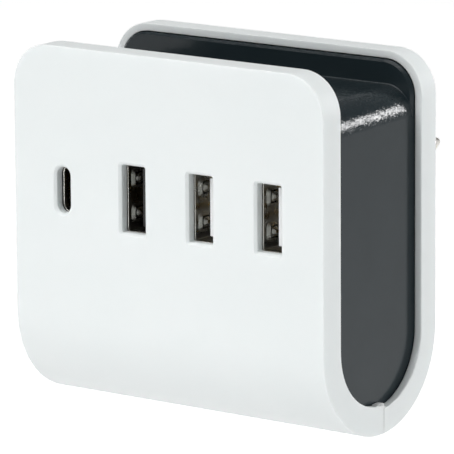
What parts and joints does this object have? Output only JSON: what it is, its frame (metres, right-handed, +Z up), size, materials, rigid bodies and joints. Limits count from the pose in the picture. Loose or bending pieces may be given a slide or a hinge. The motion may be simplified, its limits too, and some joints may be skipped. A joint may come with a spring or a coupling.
{
  "type": "usb wall charger",
  "caption": "Plug-in USB charger with upright USB-A ports, a USB-C port, a round mains plug and a dark shelf between white covers on which a phone stands.",
  "frame": {"origin": "on the axis of the mains plug, in the plane of the rear cover's back face, which meets the wall", "axes": "+Z up, -Y towards the front with the ports, +Y along the mains pins into the wall"},
  "size_m": [0.0702, 0.0729, 0.0681],
  "materials": {
    "white_cover": "satin white injection moulded plastic",
    "dark_housing": "fine spark eroded texture, dark grey plastic",
    "plug_plastic": "moulded white plastic",
    "nickel_pin": "nickel plated brass, turned",
    "screw_steel": "zinc plated screw",
    "circuit_board": "glass fibre board with green solder mask",
    "black_insulator": "moulded black insulator",
    "white_insulator": "moulded white insulator",
    "contact_brass": "gold flashed contact",
    "port_steel": "rolled and plated steel sheet",
    "fuse_body": "ceramic tube fuse",
    "film_capacitor": "yellow film capacitor case",
    "disc_capacitor": "blue lacquered disc",
    "ferrite": "sintered ferrite",
    "copper_winding": "enamelled copper wire",
    "can_sleeve": "shrunk sleeve on an aluminium can",
    "winding_tape": "yellow polyester tape"
  },
  "bodies": {
    "root": {"front_cover": "white_cover", "rear_cover": "white_cover", "inner_housing": "dark_housing", "back_panel": "dark_housing", "plug_body": "plug_plastic", "plug_pin_left": "nickel_pin", "plug_pin_right": "nickel_pin", "housing_screws": "screw_steel", "plug_screws": "screw_steel", "board_screws": "screw_steel", "main_board": "circuit_board", "port_board": "circuit_board", "link_block": "black_insulator", "link_pins": "contact_brass", "usb_a_shell_1": "port_steel", "usb_a_shell_2": "port_steel", "usb_a_shell_3": "port_steel", "usb_a_insulator_1": "black_insulator", "usb_a_insulator_2": "white_insulator", "usb_a_insulator_3": "white_insulator", "usb_a_contacts_1": "contact_brass", "usb_a_contacts_2": "contact_brass", "usb_a_contacts_3": "contact_brass", "usb_c_shell": "port_steel", "usb_c_insulator": "black_insulator", "usb_c_contacts": "contact_brass", "fuse": "fuse_body", "bridge_rectifier": "black_insulator", "x_capacitor": "film_capacitor", "y_capacitor": "disc_capacitor", "choke_ring": "ferrite", "choke_windings": "copper_winding", "bulk_capacitor_1": "can_sleeve", "bulk_capacitor_2": "can_sleeve", "output_capacitor_1": "can_sleeve", "output_capacitor_2": "can_sleeve", "transformer_core": "ferrite", "transformer_bobbin": "black_insulator", "transformer_winding": "winding_tape", "power_switch": "black_insulator", "optocoupler": "black_insulator", "output_rectifier": "black_insulator", "power_inductors": "ferrite", "charge_controller": "black_insulator"}
  },
  "joints": []
}
